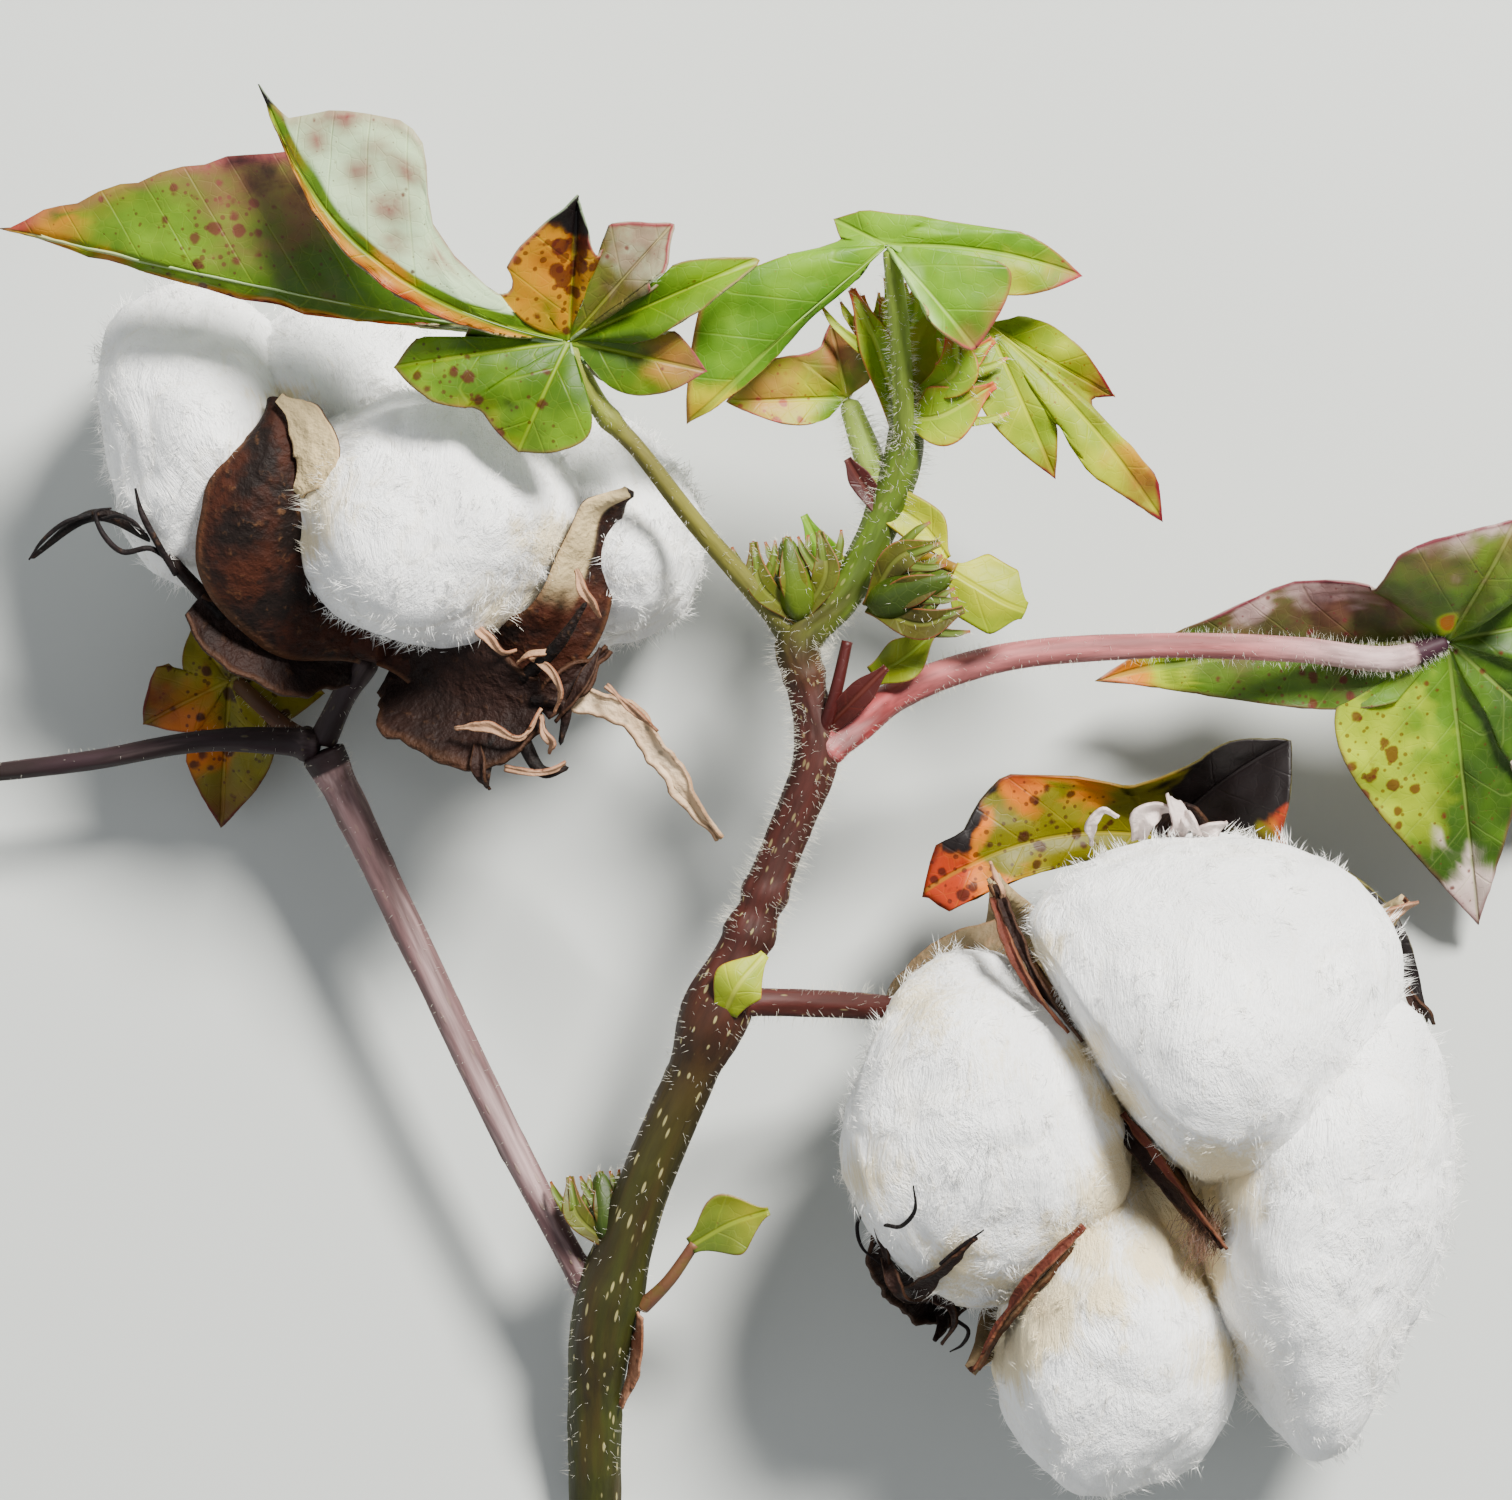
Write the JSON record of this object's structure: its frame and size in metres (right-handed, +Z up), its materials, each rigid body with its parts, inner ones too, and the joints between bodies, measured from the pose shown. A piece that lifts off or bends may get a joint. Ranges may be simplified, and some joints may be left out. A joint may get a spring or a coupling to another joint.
{
  "type": "cut cotton plant shoot with open bolls",
  "caption": "Cut shoot of a cotton plant lying down, with open bolls of white lint, lobed leaves, buds and dry bracts on a tapering stem.",
  "frame": {"origin": "middle of the shoot's bounding box on the surface that it lies on", "axes": "+Z up from that surface, +Y from the cut foot of the stem towards the growing tip, +X across the shoot towards its long-stalked leaf"},
  "size_m": [0.2102, 0.1633, 0.0648],
  "materials": {
    "stem": "green to red-brown bark with pale dashes and short white hairs",
    "twig": "dark purple-brown bark with a pale bloom",
    "lint": "white matt cotton fibre with loose strands",
    "burr": "dry dark brown boll wall, cream inside",
    "bract": "dry curled brown bract",
    "straw": "bleached straw-coloured dry strand",
    "leaf": "thin green leaf, spotted brown and red at the edge",
    "stalk": "pink and pale green leaf stalk with short hairs",
    "young_leaf": "fresh light green leaf with pale veins",
    "yellow_leaf": "yellow-green leaf with pink edges",
    "dead_leaf": "dying leaf from olive to orange, red and black-brown",
    "bud": "hairy green bud with reddish tips"
  },
  "bodies": {
    "root": {"main_stem": "stem", "left_branch": "twig", "left_branch_outer": "twig", "left_peduncle": "twig", "left_branch_bud": "bud", "right_branch": "twig", "right_peduncle": "twig", "left_burr": "burr", "right_burr": "burr", "left_lock_1": "lint", "left_lock_2": "lint", "left_lock_3": "lint", "left_lock_4": "lint", "right_lock_1": "lint", "right_lock_2": "lint", "right_lock_3": "lint", "right_lock_4": "lint", "left_bract_inner": "bract", "left_bract_outer": "bract", "left_bract_thorn": "bract", "left_bract_strand": "straw", "right_bract_low": "bract", "right_bract_top": "bract", "left_leaf_stalk": "stalk", "left_leaf": "leaf", "right_leaf_stalk": "stalk", "right_leaf": "leaf", "top_leaf_stalk": "stalk", "top_leaf": "young_leaf", "yellow_leaf_stalk": "stalk", "yellow_leaf": "yellow_leaf", "back_leaf_stalk": "stalk", "back_leaf": "young_leaf", "spotted_leaf_stalk": "stalk", "spotted_leaf": "dead_leaf", "under_leaf_stalk": "stalk", "under_leaf": "leaf", "small_leaf_low": "yellow_leaf", "small_leaf_mid": "yellow_leaf", "small_leaf_side": "yellow_leaf", "small_leaf_inner": "yellow_leaf", "small_leaf_under": "yellow_leaf", "scale_low": "bract", "scale_upper": "bract", "scale_node": "bract", "scale_fork": "bract", "bud_low": "bud", "bud_left": "bud", "bud_right": "bud", "growing_tip": "bud"}
  },
  "joints": []
}
